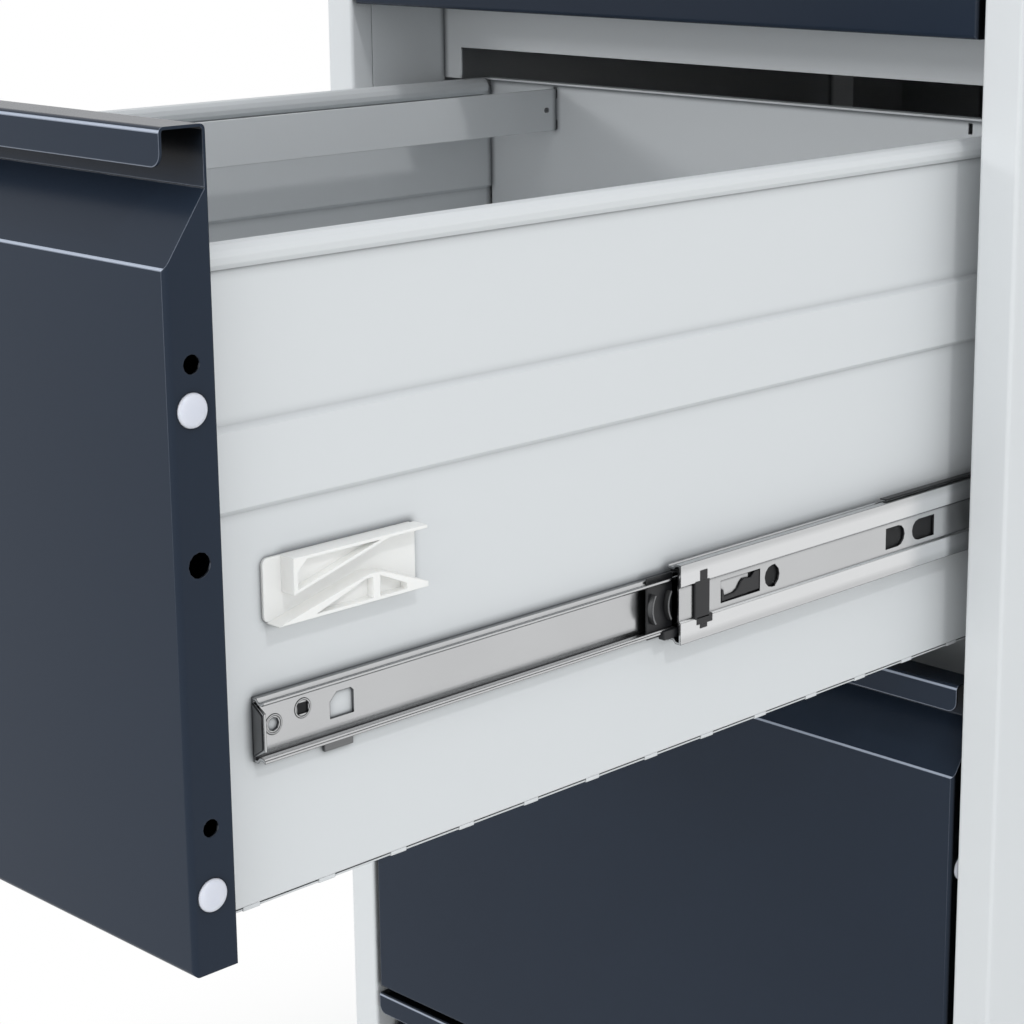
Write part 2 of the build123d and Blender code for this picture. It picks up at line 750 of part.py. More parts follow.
with BuildPart() as lock_barrel:
    with BuildSketch(Plane.XZ.offset(half_depth)):
        with Locations((lock_x, lock_level)):
            Circle(barrel_face_radius)
    extrude(amount=barrel_face)
    with BuildSketch(Plane.XZ.offset(half_depth)):
        with Locations((lock_x, lock_level)):
            Circle(barrel_radius - seam / 2)
    extrude(amount=-(snail_back + half_depth))
    with BuildSketch(Plane.XZ.offset(-snail_back)):
        with BuildLine():
            last = pi / 2 + snail_margin
            step_angle = (last + snail_margin) / snail_steps
            slope = [snail_point(-snail_margin + step * step_angle) for step in range(snail_steps + 1)]
            snail_foot = (lock_x, lock_level - snail_small)
            snail_heel = (lock_x + snail_small, lock_level)
            Polyline(*slope, snail_foot, snail_heel, close=True)
        make_face()
    extrude(amount=snail_thickness)
    with Locations((lock_x, -half_depth - barrel_face + keyway_depth / 2, lock_level)):
        Box(keyway_width, keyway_depth, keyway_height, mode=Mode.SUBTRACT)

for piece, name in (
    (side_panel_left, "side_panel_left"),
    (side_panel_right.part, "side_panel_right"),
    (back_panel.part, "back_panel"),
    (top_panel.part, "top_panel"),
    (base_frame.part, "base_frame"),
    (levelling_feet.part, "levelling_feet"),
    (uprights.part, "uprights"),
    (cross_rails.part, "cross_rails"),
    (cabinet_members.part, "slide_cabinet_members"),
    (lock_bar.part, "lock_bar"),
    (lock_pins.part, "lock_pins"),
    (lock_barrel.part, "lock_barrel"),
):
    write(piece, name)

# Each drawer's pieces, with the share of the drawer's travel that each makes
drawer_pieces = (
    (front_panel.part, "front_panel", 1.0),
    (inner_front.part, "inner_front", 1.0),
    (side_left, "side_left", 1.0),
    (side_right.part, "side_right", 1.0),
    (drawer_bottom.part, "bottom", 1.0),
    (drawer_back.part, "back", 1.0),
    (file_bar.part, "file_bar", 1.0),
    (lock_cam.part, "lock_cam", 1.0),
    (bumpers.part, "bumpers", 1.0),
    (drawer_members.part, "slide_drawer_members", 1.0),
    (middle_members.part, "slide_middle_members", middle_share),
    (cages.part, "slide_ball_cages", cage_share),
)
for number, level in enumerate(front_levels, start=1):
    opening = slide_length - drawer_unopened_travel if number == open_drawer else 0.0
    for piece, name, share in drawer_pieces:
        place = Location((0, -half_depth - share * opening, level))
        write(piece.moved(place), f"drawer_{number}_{name}")
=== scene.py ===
"""Looks of a four-drawer filing cabinet with its second drawer pulled out.

Metres, +Z up, fronts facing -Y, as in the frame. Right-hand pieces are drawn and mirrored across X = 0.
"""

import json
import math

import bmesh
import bpy
from mathutils import Matrix, Vector


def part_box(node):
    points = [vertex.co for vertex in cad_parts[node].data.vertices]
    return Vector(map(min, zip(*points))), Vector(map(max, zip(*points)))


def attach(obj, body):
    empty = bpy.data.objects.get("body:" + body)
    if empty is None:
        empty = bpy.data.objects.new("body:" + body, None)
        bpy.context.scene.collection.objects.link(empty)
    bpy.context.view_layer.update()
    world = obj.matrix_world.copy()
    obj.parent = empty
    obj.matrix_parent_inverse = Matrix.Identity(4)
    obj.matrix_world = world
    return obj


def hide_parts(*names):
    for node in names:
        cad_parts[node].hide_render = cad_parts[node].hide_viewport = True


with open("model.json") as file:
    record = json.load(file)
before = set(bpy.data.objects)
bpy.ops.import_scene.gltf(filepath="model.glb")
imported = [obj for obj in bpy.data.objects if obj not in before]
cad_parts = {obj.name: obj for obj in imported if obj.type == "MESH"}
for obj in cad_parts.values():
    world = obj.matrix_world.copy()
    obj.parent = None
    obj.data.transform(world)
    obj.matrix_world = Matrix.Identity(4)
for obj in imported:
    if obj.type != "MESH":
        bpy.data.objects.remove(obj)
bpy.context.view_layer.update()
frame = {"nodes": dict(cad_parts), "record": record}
nodes = frame["nodes"]

MM = 0.001
DRAWERS = range(1, 5)

# Camera
CAMERA_PLACE = Vector((0.8404, -1.1991, 1.0484))
CAMERA_YAW = 44.002
CAMERA_PITCH = 13.284  # degrees below the horizon
CAMERA_ROLL = -0.167
CAMERA_LENS = 86.97
CAMERA_SENSOR = 36.0
CAMERA_SHIFT = (-0.09, -0.07)

# Lights: name, place, target, size across and up, and power of each
LIGHTS = (
    ("key_light", (2.65, -1.05, 3.35), (0.2, -0.3, 0.8), (0.2, 0.2), 19),
    ("front_strip", (-2.3, -3.1, 1.85), (0.0, -0.6, 0.85), (1.6, 0.10), 18),
    ("front_light", (0.9, -3.3, 1.15), (0.0, -0.3, 0.9), (1.6, 0.7), 12),
    ("top_light", (0.3, -3.3, 2.5), (0.0, -0.4, 0.8), (1.6, 1.2), 9),
)

# Studio
STUDIO_GREY = "F4F6F8"
STUDIO_STRENGTH = 0.97
PLAIN_WHITE = "FFFFFF"
FLOOR_WHITE = "F2F2F0"
FLOOR_REACH = 12.0
FLOOR_DROP = 0.2 * MM  # under the feet
FLOOR_FADE = (0.5, 1.0)  # how far out the floor starts and ends turning into the white round it
FLOOR_GRAIN = 30 * MM
FLOOR_MOTTLE = 0.01

# Powder coat
CARCASS_GREY = "D3D6D8"
# painted highlight on the bends and edges of the carcass
CARCASS_HIGHLIGHT = "E2E5E7"
CARCASS_SHADE = "74777A"  # painted shade in the folds
CARCASS_SHADE_REACH = 4 * MM
CARCASS_ROUGHNESS = 0.42
CARCASS_MOTTLE = 0.012
CARCASS_GLOSS = 0.4
FRONT_BLUE_GREY = "222B38"
# painted highlight on the bends and edges of the fronts
FRONT_HIGHLIGHT = "9DA5B4"
# painted shade in the folds and recesses of the fronts
FRONT_SHADE = "06080B"
FRONT_SHADE_REACH = 20 * MM
FRONT_ROUGHNESS = 0.24
FRONT_MOTTLE = 0.05
FRONT_GLOSS = 0.12
COAT_PEEL = 1.6 * MM  # size of the dimples
COAT_PEEL_DEPTH = 0.018 * MM
COAT_FINE = 0.35 * MM
COAT_FINE_DEPTH = 0.004 * MM
COAT_CLOUD = 140 * MM
COAT_DRIFT = 0.03  # how far the roughness drifts either way
COAT_ROUNDING = 0.8 * MM  # under the thickness of the sheet
COAT_CLOSED = 0.55  # share of free air at which a fold is in full shade
OPEN_AIR = 0.97

# Edges and bends, from the direction that a face looks in, where highlights and shade are painted
FLAT_LEAN = 0.998  # cosine between the rounded and the face's own normal, where an edge starts
EDGE_LEAN = 0.93
BEND_START = (0.03, 0.1)  # how far up a bend looks where its painted highlight starts
BEND_END = (0.5, 0.54)
FORWARD_LEAN = -0.1
EDGE_SIDEWAYS = 0.55  # how far sideways a face may look and still have a painted highlight on its edge

# Zinc
ZINC = "C2C3C4"
ZINC_CREST_HIGHLIGHT = "DBDCDD"  # painted highlight on the proud flanges
ZINC_SHADE = "303134"  # grease, and painted shade in the races and along sharp folds
# duller zinc, darkened as painted shade on the tabs, hooks and slot plates
ZINC_IN_SHADE_GREY = "7C7D7E"
ZINC_SHADE_REACH = 1.5 * MM
ZINC_CLOSED = 0.45
ZINC_LINE = 0.5 * MM
ZINC_LINE_DEPTH = 0.0012 * MM
ZINC_LINE_STRETCH = (1.0, 0.02, 1.0)  # draws the lines out along the strip
ZINC_CLOUD = 45 * MM
ZINC_MOTTLE = 0.05
ZINC_ROUNDING = 0.35 * MM
ZINC_ROUGHNESS = 0.17
DULL_ROUGHNESS = 0.4
ZINC_DRIFT = 0.08
# Painted highlight on the crests of the proud flanges of the middle members
FLANGE_DEPTH = 0.7 * MM  # from the outermost face of the middle members
TRACK_EDGE = 15.6 * MM  # up and down from the slide's middle
TRACK_CREST = 12.0 * MM
TRACK_DIM = 0.1

# Phosphated steel
PHOSPHATE = "1A1B1D"
CRYSTAL = 0.6 * MM
CRYSTAL_DEPTH = 0.01 * MM
PHOSPHATE_MOTTLE = 0.35
PHOSPHATE_ROUGHNESS = (0.32, 0.48)
PHOSPHATE_ROUNDING = 0.4 * MM
PHOSPHATE_METAL = 0.6

# Nylon
NYLON = "ECECEA"
BUMPER_NYLON = "D2D5DF"
NYLON_GRAIN = 0.5 * MM
NYLON_GRAIN_DEPTH = 0.01 * MM
NYLON_CLOUD = 18 * MM
NYLON_MOTTLE = 0.03
NYLON_DRIFT = 0.04
NYLON_ROUNDING = 0.5 * MM
NYLON_GLOW = 2.0 * MM  # how far light spreads inside
NYLON_GLOW_COLOUR = (1.0, 0.95, 0.9)
CAM_SCATTER = 0.25
CAM_ROUGHNESS = 0.42
BUMPER_SCATTER = 0.6
BUMPER_ROUGHNESS = 0.34

# Chrome
CHROME = "DFE0E2"
CHROME_SMEAR = 6 * MM
CHROME_SMEAR_BREAKUP = 0.65
CHROME_MOTTLE = 0.04
CHROME_ROUGHNESS = (0.05, 0.14)
CHROME_ROUNDING = 0.4 * MM

# Black plastic
BLACK_PLASTIC = "16171A"
SPARK_GRAIN = 0.4 * MM
SPARK_GRAIN_DEPTH = 0.015 * MM
PLASTIC_MOTTLE = 0.25
PLASTIC_ROUGHNESS = (0.36, 0.5)
PLASTIC_ROUNDING = 0.3 * MM

# Middle range of a noise pattern, where most of its values lie
PATTERN_LOW = 0.3
PATTERN_HIGH = 0.7

# Round pieces
ROUND_SIDES = 40
MERGE_REACH = 0.01 * MM

# Bumpers, from the front's lower edge and front face
BUMPER_RADIUS = 5.9 * MM
BUMPER_RISE = 1.9 * MM
BUMPER_SETBACK = 8.4 * MM
BUMPER_LEVELS = (28.0 * MM, 195.1 * MM)
BUMPER_RINGS = 8
BUMPER_ROUNDNESS = 0.6  # 1 gives an ellipse, and less a squarer rim

# Slide clips, from the middle member's front end and up from its middle
CLIP_START = 8.7 * MM
CLIP_WIDTH = 8.6 * MM
CLIP_HALF = 8.0 * MM
CLIP_TAB_START = 11.6 * MM
CLIP_TAB_WIDTH = 4.4 * MM
CLIP_TAB_TOP = 12.2 * MM
CLIP_FOOT_START = 9.6 * MM
CLIP_FOOT_WIDTH = 9.6 * MM
CLIP_FOOT_TOP = -7.0 * MM
CLIP_FOOT_BASE = -10.4 * MM
CLIP_DEPTH = 1.1 * MM  # from the middle member's outer face
CLIP_THICKNESS = 1.3 * MM
CLIP_ROUNDING = 0.25 * MM

# Release levers, in millimetres back from the middle member's front end and up from its middle
LEVER_OUTLINE = (
    (26.2, -4.4), (38.0, -3.9), (49.8, -3.9), (49.8, 4.4), (47.0, 4.4), (44.5, 2.2), (40.0, 2.6),
    (38.2, 1.4), (36.4, -1.0), (34.0, -2.2), (28.0, -2.6), (27.4, 0.6), (26.2, 0.8),
)
LEVER_DEPTH = 2.2 * MM  # from the middle member's outer face to the back of the lever
LEVER_THICKNESS = 1.0 * MM
LEVER_ROUNDING = 0.3 * MM
SPRING_REACH = (25.0 * MM, 43.5 * MM)  # back from the middle member's front end
SPRING_HALF = 4.9 * MM
SPRING_BACK = 0.05 * MM  # inwards and outwards of the back of the lever
SPRING_FRONT = 0.1 * MM

# Ball cages
CAGE_WALL = 0.8 * MM
CAGE_DEPTH = 4.5 * MM
CAGE_STRIP_ROUNDING = 0.2 * MM
CAGE_END_LENGTH = 15.0 * MM  # black moulded end, before the folded strip
CAGE_END_ROUNDING = 0.4 * MM
CAGE_RAIL_HEIGHT = 3.8 * MM
CAGE_RAIL_LENGTH = 8.5 * MM
CAGE_WEB_SETBACK = 3.4 * MM  # from the strip's outer face to the moulded web
CAGE_HOOK_PLACES = (0.2 * MM, 9.4 * MM)  # nearest point of each hook to the cage's front end
CAGE_HOOK_RADIUS = 11.0 * MM
CAGE_HOOK_WIDTH = 1.0 * MM
CAGE_HOOK_SPAN = 70.0  # degrees
CAGE_HOOK_STEPS = 14

# Outer ball cages, from the middle member's ends, edges and outer face
OUTER_CAGE_START = 136 * MM
OUTER_CAGE_TAIL = 6 * MM
OUTER_CAGE_GAP = 0.5 * MM
OUTER_CAGE_HEIGHT = 0.5 * MM
OUTER_CAGE_WIDTH = 3.6 * MM
OUTER_CAGE_INSET = 2.2 * MM
OUTER_CAGE_ROUNDING = 0.2 * MM

# Drawer members: back from their front end, and up from the slide's middle
WEB_THICKNESS = 1.0 * MM
LATCH_PLACE = (21.4 * MM, 2.6 * MM)
LATCH_RING = (3.3 * MM, 0.5 * MM)  # radius and width of the pressed ring
LATCH_SIZE = (5.4 * MM, 4.6 * MM)
LATCH_INSET = 0.1 * MM
LATCH_THICKNESS = 0.4 * MM
NOTCH_PLACE = (8.4 * MM, 0.0)
NOTCH_RING = (3.4 * MM, 0.5 * MM)
RING_RISE = 0.2 * MM
RING_CREST = 1 / 3  # share of a ring's width that is flat on top
HANGER_START = 30.4 * MM
HANGER_LENGTH = 13.2 * MM
HANGER_HEIGHT = 4.1 * MM
HANGER_ROUNDING = 0.2 * MM
STOP_FACE_START = 0.6 * MM
STOP_FACE_ROOT = 9.6 * MM
STOP_FACE_HALF = 6.2 * MM
STOP_FACE_REACH = 5.6 * MM
STOP_FACE_THICKNESS = 0.5 * MM
TAB_OVERLAP = 0.1 * MM  # how far a sheared face sinks into its tab
TAB_SKIN = 0.5 * MM

# Lower edge of the drawer's sides
SIDE_TAB_FIRST = 30.2 * MM
SIDE_TAB_PITCH = 34.1 * MM
SIDE_TAB_LENGTH = 7.6 * MM
SIDE_TAB_DROP = 0.4 * MM  # below the lip
SIDE_TAB_OVERLAP = 0.1 * MM
SIDE_TAB_ROUNDING = 0.3 * MM
SIDE_LIP_DROP = 1.3 * MM  # how far the bottom's lip hangs below the side
SIDE_LIP_GAP = 0.6 * MM
SIDE_LIP_INSET = 0.3 * MM
SIDE_LIP_WIDTH = 6.0 * MM

# File bar
BAR_RIVET_SETBACK = 8.0 * MM  # from the inner face of the back to the middle of the bar's rivet
BAR_RIVET_RADIUS = 1.4 * MM
BAR_SLOT_HEIGHT = 4.6 * MM
BAR_SLOT_WIDTH = 0.8 * MM
BAR_SLOT_PITCH = 17.0 * MM  # between the middles of the two slots that a bar's hooks go through
BAR_SLOT_RISE = 0.1 * MM


def linear(colour):
    """Linear colour, with alpha, of an sRGB hex colour."""
    parts = [int(colour[i:i + 2], 16) / 255 for i in (0, 2, 4)]
    return [c / 12.92 if c <= 0.04045 else ((c + 0.055) / 1.055) ** 2.4 for c in parts] + [1.0]


def shades(colour, amount):
    """A colour's darker and lighter shade, as the two ends of a mix."""
    low = [c * (1 - amount) for c in linear(colour)[:3]] + [1.0]
    high = [min(c * (1 + amount), 1.0) for c in linear(colour)[:3]] + [1.0]
    return {"A": low, "B": high}


def spread(low, high):
    """The ends of a range map that lays a noise pattern's middle range onto low to high."""
    return {"From Min": PATTERN_LOW, "From Max": PATTERN_HIGH, "To Min": low, "To Max": high}


def node(tree, kind, inputs=None, **settings):
    """Adds a shader node and gives its outputs; an input is a value, a hex colour or another's output."""
    made = tree.nodes.new("ShaderNode" + kind)
    for name, value in settings.items():
        setattr(made, name, value)
    for name, value in (inputs or {}).items():
        if isinstance(value, bpy.types.NodeSocket):
            tree.links.new(value, made.inputs[name])
        else:
            made.inputs[name].default_value = linear(value) if isinstance(value, str) else value
    return made.outputs


def new_material(name):
    """An empty material, its tree, and the object coordinates in it."""
    material = bpy.data.materials.new(name)
    material.use_nodes = True
    tree = material.node_tree
    tree.nodes.clear()
    return material, tree, node(tree, "TexCoord")["Object"]


def finish(tree, inputs):
    """Closes a material's tree with its principled shader."""
    surface = node(tree, "BsdfPrincipled", inputs)["BSDF"]
    node(tree, "OutputMaterial", {"Surface": surface})


def sharp_folds(tree, fold):
    """Is 1 on a sharp fold and 0 on the flat, from how far the rounded normal leans away from the face's."""
    face = node(tree, "NewGeometry")["Normal"]
    lean = node(tree, "VectorMath", {0: fold, 1: face}, operation="DOT_PRODUCT")["Value"]
    return node(tree, "MapRange", {"Value": lean, "From Min": FLAT_LEAN, "From Max": EDGE_LEAN})["Result"]


def painted_bend_highlight(tree, fold):
    """Mask for painted highlights: is near 1 on the bends along a front that face forwards, and at their
    edges.
    """
    face = node(tree, "NewGeometry")["True Normal"]
    lean = node(tree, "SeparateXYZ", {"Vector": face})
    upright, bent = BEND_START
    past_front = node(tree, "MapRange", {"Value": lean["Z"], "From Min": upright, "From Max": bent})["Result"]
    bent, slope = BEND_END
    before_slope = node(tree, "MapRange", {"Value": lean["Z"], "From Min": slope, "From Max": bent})["Result"]
    bend = node(tree, "Math", {0: past_front, 1: before_slope}, operation="MULTIPLY")["Value"]
    sideways = node(tree, "Math", {0: lean["X"]}, operation="ABSOLUTE")["Value"]
    along = node(tree, "Math", {0: EDGE_SIDEWAYS, 1: sideways}, operation="SUBTRACT")["Value"]
    edge = node(tree, "Math", {0: sharp_folds(tree, fold), 1: along}, operation="MULTIPLY")["Value"]
    highlight = node(tree, "Math", {0: bend, 1: edge}, operation="MAXIMUM")["Value"]
    forwards = node(tree, "Math", {0: lean["Y"], 1: FORWARD_LEAN}, operation="LESS_THAN")["Value"]
    return node(tree, "Math", {0: highlight, 1: forwards}, operation="MULTIPLY")["Value"]


def open_to_air(tree, reach, closed):
    """Mask for painted shade: is 1 on an open face and 0 deep in a fold, from how much of the air within
    reach is free.
    """
    near = node(tree, "AmbientOcclusion", {"Distance": reach}, samples=8)["AO"]
    return node(tree, "MapRange", {"Value": near, "From Min": closed, "From Max": OPEN_AIR})["Result"]


def slide_level(number):
    """Height of the middle of a drawer's slides."""
    low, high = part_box(f"drawer_{number}_slide_middle_members")
    return (low.z + high.z) / 2


def painted_crest_highlight(tree, place):
    """Mask for the painted highlight: is 1 on the crests of the proud flanges that hold the ball tracks, and
    fades to their outer edges.
    """
    apart = node(tree, "SeparateXYZ", {"Vector": place})
    sideways = node(tree, "Math", {0: apart["X"]}, operation="ABSOLUTE")["Value"]
    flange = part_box("drawer_4_slide_middle_members")[1].x - FLANGE_DEPTH
    proud = node(tree, "Math", {0: sideways, 1: flange}, operation="GREATER_THAN")["Value"]
    height = node(tree, "Math", {0: apart["Z"], 1: slide_level(4)}, operation="SUBTRACT")["Value"]
    half_pitch = (slide_level(3) - slide_level(4)) / 2
    from_middle = node(tree, "Math", {0: height, 1: half_pitch}, operation="PINGPONG")["Value"]
    ends = {"From Min": TRACK_EDGE, "From Max": TRACK_CREST, "To Min": TRACK_DIM}
    crest_highlight = node(tree, "MapRange", {"Value": from_middle, **ends}, interpolation_type="SMOOTHSTEP")["Result"]
    return node(tree, "Math", {0: proud, 1: crest_highlight}, operation="MULTIPLY")["Value"]


def powder_coat(name, colours, roughness, mottle, gloss, shade_reach):
    """Powder coat: orange peel with a fine grain, slightly clouded, with painted highlights on bends and
    painted shade in folds.
    """
    colour, highlight_colour, shade_colour = colours
    material, tree, place = new_material(name)
    peel = node(tree, "TexNoise", {"Vector": place, "Scale": 1 / COAT_PEEL, "Detail": 1.0})["Fac"]
    fine = node(tree, "TexNoise", {"Vector": place, "Scale": 1 / COAT_FINE, "Detail": 2.0})["Fac"]
    cloud = node(tree, "TexNoise", {"Vector": place, "Scale": 1 / COAT_CLOUD, "Detail": 3.0})["Fac"]
    fold = node(tree, "Bevel", {"Radius": COAT_ROUNDING}, samples=8)["Normal"]
    skin = node(tree, "Bump", {"Height": peel, "Distance": COAT_PEEL_DEPTH, "Normal": fold})["Normal"]
    skin = node(tree, "Bump", {"Height": fine, "Distance": COAT_FINE_DEPTH, "Normal": skin})["Normal"]
    paint = node(tree, "Mix", {"Factor": cloud, **shades(colour, mottle)}, data_type="RGBA")["Result"]
    highlight = painted_bend_highlight(tree, fold)
    paint = node(tree, "Mix", {"Factor": highlight, "A": paint, "B": highlight_colour}, data_type="RGBA")["Result"]
    air = open_to_air(tree, shade_reach, COAT_CLOSED)
    paint = node(tree, "Mix", {"Factor": air, "A": shade_colour, "B": paint}, data_type="RGBA")["Result"]
    ends = spread(roughness - COAT_DRIFT, roughness + COAT_DRIFT)
    rough = node(tree, "MapRange", {"Value": cloud, **ends})["Result"]
    finish(tree, {"Base Color": paint, "Roughness": rough, "Normal": skin, "Specular IOR Level": gloss})
    return material


def rolled_zinc(name, colour, roughness):
    """Bright zinc on rolled strip: fine lines along the strip, duller patches, a painted highlight on the
    flange crests, and grease with painted shade in folds and on edges.
    """
    material, tree, place = new_material(name)
    along = node(tree, "Mapping", {"Vector": place, "Scale": ZINC_LINE_STRETCH})["Vector"]
    lines = node(tree, "TexNoise", {"Vector": along, "Scale": 1 / ZINC_LINE, "Detail": 3.0})["Fac"]
    cloud = node(tree, "TexNoise", {"Vector": place, "Scale": 1 / ZINC_CLOUD, "Detail": 4.0})["Fac"]
    fold = node(tree, "Bevel", {"Radius": ZINC_ROUNDING}, samples=8)["Normal"]
    skin = node(tree, "Bump", {"Height": lines, "Distance": ZINC_LINE_DEPTH, "Normal": fold})["Normal"]
    flat = node(tree, "Math", {0: 1.0, 1: sharp_folds(tree, fold)}, operation="SUBTRACT")["Value"]
    air = open_to_air(tree, ZINC_SHADE_REACH, ZINC_CLOSED)
    free_of_grease_and_shade = node(tree, "Math", {0: air, 1: flat}, operation="MULTIPLY")["Value"]
    metal = node(tree, "Mix", {"Factor": cloud, **shades(colour, ZINC_MOTTLE)}, data_type="RGBA")["Result"]
    crest_highlight = painted_crest_highlight(tree, place)
    metal = node(tree, "Mix", {"Factor": crest_highlight, "A": metal, "B": ZINC_CREST_HIGHLIGHT}, data_type="RGBA")["Result"]
    metal = node(tree, "Mix", {"Factor": free_of_grease_and_shade, "A": ZINC_SHADE, "B": metal}, data_type="RGBA")["Result"]
    rough = node(tree, "MapRange", {"Value": lines, **spread(roughness, roughness + ZINC_DRIFT)})["Result"]
    finish(tree, {"Base Color": metal, "Roughness": rough, "Normal": skin, "Metallic": 1.0})
    return material


def phosphated_steel(name):
    """Dark phosphated strip: matt, with a crystal grain."""
    material, tree, place = new_material(name)
    grain = node(tree, "TexNoise", {"Vector": place, "Scale": 1 / CRYSTAL, "Detail": 4.0})["Fac"]
    fold = node(tree, "Bevel", {"Radius": PHOSPHATE_ROUNDING}, samples=8)["Normal"]
    skin = node(tree, "Bump", {"Height": grain, "Distance": CRYSTAL_DEPTH, "Normal": fold})["Normal"]
    dark = shades(PHOSPHATE, PHOSPHATE_MOTTLE)
    steel = node(tree, "Mix", {"Factor": grain, **dark}, data_type="RGBA")["Result"]
    rough = node(tree, "MapRange", {"Value": grain, **spread(*PHOSPHATE_ROUGHNESS)})["Result"]
    finish(tree, {"Base Color": steel, "Roughness": rough, "Normal": skin, "Metallic": PHOSPHATE_METAL})
    return material


def moulded_nylon(name, colour, scatter, roughness):
    """Moulded nylon: milky, softly lit from inside, with a faint mould grain."""
    material, tree, place = new_material(name)
    grain = node(tree, "TexNoise", {"Vector": place, "Scale": 1 / NYLON_GRAIN, "Detail": 2.0})["Fac"]
    cloud = node(tree, "TexNoise", {"Vector": place, "Scale": 1 / NYLON_CLOUD, "Detail": 2.0})["Fac"]
    fold = node(tree, "Bevel", {"Radius": NYLON_ROUNDING}, samples=8)["Normal"]
    skin = node(tree, "Bump", {"Height": grain, "Distance": NYLON_GRAIN_DEPTH, "Normal": fold})["Normal"]
    milk = node(tree, "Mix", {"Factor": cloud, **shades(colour, NYLON_MOTTLE)}, data_type="RGBA")["Result"]
    ends = spread(roughness - NYLON_DRIFT, roughness + NYLON_DRIFT)
    rough = node(tree, "MapRange", {"Value": grain, **ends})["Result"]
    finish(tree, {"Base Color": milk, "Roughness": rough, "Normal": skin, "Subsurface Weight": scatter,
                  "Subsurface Radius": NYLON_GLOW_COLOUR, "Subsurface Scale": NYLON_GLOW})
    return material


def polished_chrome(name):
    """Polished chrome plate, smeared a little by handling."""
    material, tree, place = new_material(name)
    smear = node(tree, "TexNoise", {"Vector": place, "Scale": 1 / CHROME_SMEAR, "Detail": 5.0,
                                    "Roughness": CHROME_SMEAR_BREAKUP})["Fac"]
    fold = node(tree, "Bevel", {"Radius": CHROME_ROUNDING}, samples=8)["Normal"]
    plate = node(tree, "Mix", {"Factor": smear, **shades(CHROME, CHROME_MOTTLE)}, data_type="RGBA")["Result"]
    rough = node(tree, "MapRange", {"Value": smear, **spread(*CHROME_ROUGHNESS)})["Result"]
    finish(tree, {"Base Color": plate, "Roughness": rough, "Normal": fold, "Metallic": 1.0})
    return material


def black_moulding(name):
    """Black moulded plastic with a spark-eroded grain."""
    material, tree, place = new_material(name)
    grain = node(tree, "TexNoise", {"Vector": place, "Scale": 1 / SPARK_GRAIN, "Detail": 3.0})["Fac"]
    fold = node(tree, "Bevel", {"Radius": PLASTIC_ROUNDING}, samples=8)["Normal"]
    skin = node(tree, "Bump", {"Height": grain, "Distance": SPARK_GRAIN_DEPTH, "Normal": fold})["Normal"]
    dark = shades(BLACK_PLASTIC, PLASTIC_MOTTLE)
    black = node(tree, "Mix", {"Factor": grain, **dark}, data_type="RGBA")["Result"]
    rough = node(tree, "MapRange", {"Value": grain, **spread(*PLASTIC_ROUGHNESS)})["Result"]
    finish(tree, {"Base Color": black, "Roughness": rough, "Normal": skin})
    return material


CARCASS_COLOURS = (CARCASS_GREY, CARCASS_HIGHLIGHT, CARCASS_SHADE)
FRONT_COLOURS = (FRONT_BLUE_GREY, FRONT_HIGHLIGHT, FRONT_SHADE)
MATERIALS = {
    "carcass_paint": powder_coat("light_powder_coat", CARCASS_COLOURS, CARCASS_ROUGHNESS, CARCASS_MOTTLE,
                                 CARCASS_GLOSS, CARCASS_SHADE_REACH),
    "front_paint": powder_coat("dark_powder_coat", FRONT_COLOURS, FRONT_ROUGHNESS, FRONT_MOTTLE, FRONT_GLOSS,
                               FRONT_SHADE_REACH),
    "zinc_steel": rolled_zinc("rolled_zinc", ZINC, ZINC_ROUGHNESS),
    "cage_steel": phosphated_steel("phosphated_steel"),
    "lock_chrome": polished_chrome("polished_chrome"),
    "white_nylon": moulded_nylon("white_nylon", NYLON, CAM_SCATTER, CAM_ROUGHNESS),
    "foot_plastic": black_moulding("black_moulding"),
}
PAINTED_SHADE_ZINC = rolled_zinc("zinc_painted_shade", ZINC_IN_SHADE_GREY, DULL_ROUGHNESS)
BUMPER_MATERIAL = moulded_nylon("milky_nylon", BUMPER_NYLON, BUMPER_SCATTER, BUMPER_ROUGHNESS)


def finish_frame_nodes():
    """Gives each node of the frame the material of its slot."""
    for part in frame["record"]["subparts"]:
        mesh = nodes[part["node"]].data
        mesh.materials.clear()
        mesh.materials.append(MATERIALS[part["material_slot"]])


def new_piece(name, shape, slot, body, material=None):
    """Object made from a bmesh, which rides on a body and has its slot's material or the one given."""
    bmesh.ops.recalc_face_normals(shape, faces=shape.faces)
    mesh = bpy.data.meshes.new(name)
    shape.to_mesh(mesh)
    shape.free()
    mesh.materials.append(material or MATERIALS[slot])
    made = bpy.data.objects.new(name, mesh)
    bpy.context.scene.collection.objects.link(made)
    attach(made, body)
    return made


def mirror_pair(shape):
    """Adds the mirror image across the middle of the cabinet."""
    bmesh.ops.mirror(shape, geom=shape.verts[:] + shape.edges[:] + shape.faces[:], merge_dist=-1, axis="X")


def add_plate(shape, outline, x, thickness, rounding):
    """Flat plate square to X, with an outline of (y, z) points, its edges rounded."""
    face = shape.faces.new([shape.verts.new((x, y, z)) for y, z in outline])
    grown = bmesh.ops.extrude_face_region(shape, geom=[face])["geom"]
    verts = [v for v in grown if isinstance(v, bmesh.types.BMVert)]
    bmesh.ops.translate(shape, vec=(thickness, 0, 0), verts=verts)
    if rounding:
        faces = {f for v in verts for f in v.link_faces}
        edges = {e for f in faces for e in f.edges}
        bmesh.ops.bevel(shape, geom=list(edges), offset=rounding, segments=2, profile=0.5, affect="EDGES",
                        material=-1)


def add_bar(shape, across, along, up, rounding=0):
    """Straight bar that fills a range of x, one of y and one of z, its edges rounded."""
    outline = ((along[0], up[0]), (along[1], up[0]), (along[1], up[1]), (along[0], up[1]))
    add_plate(shape, outline, across[0], across[1] - across[0], rounding)


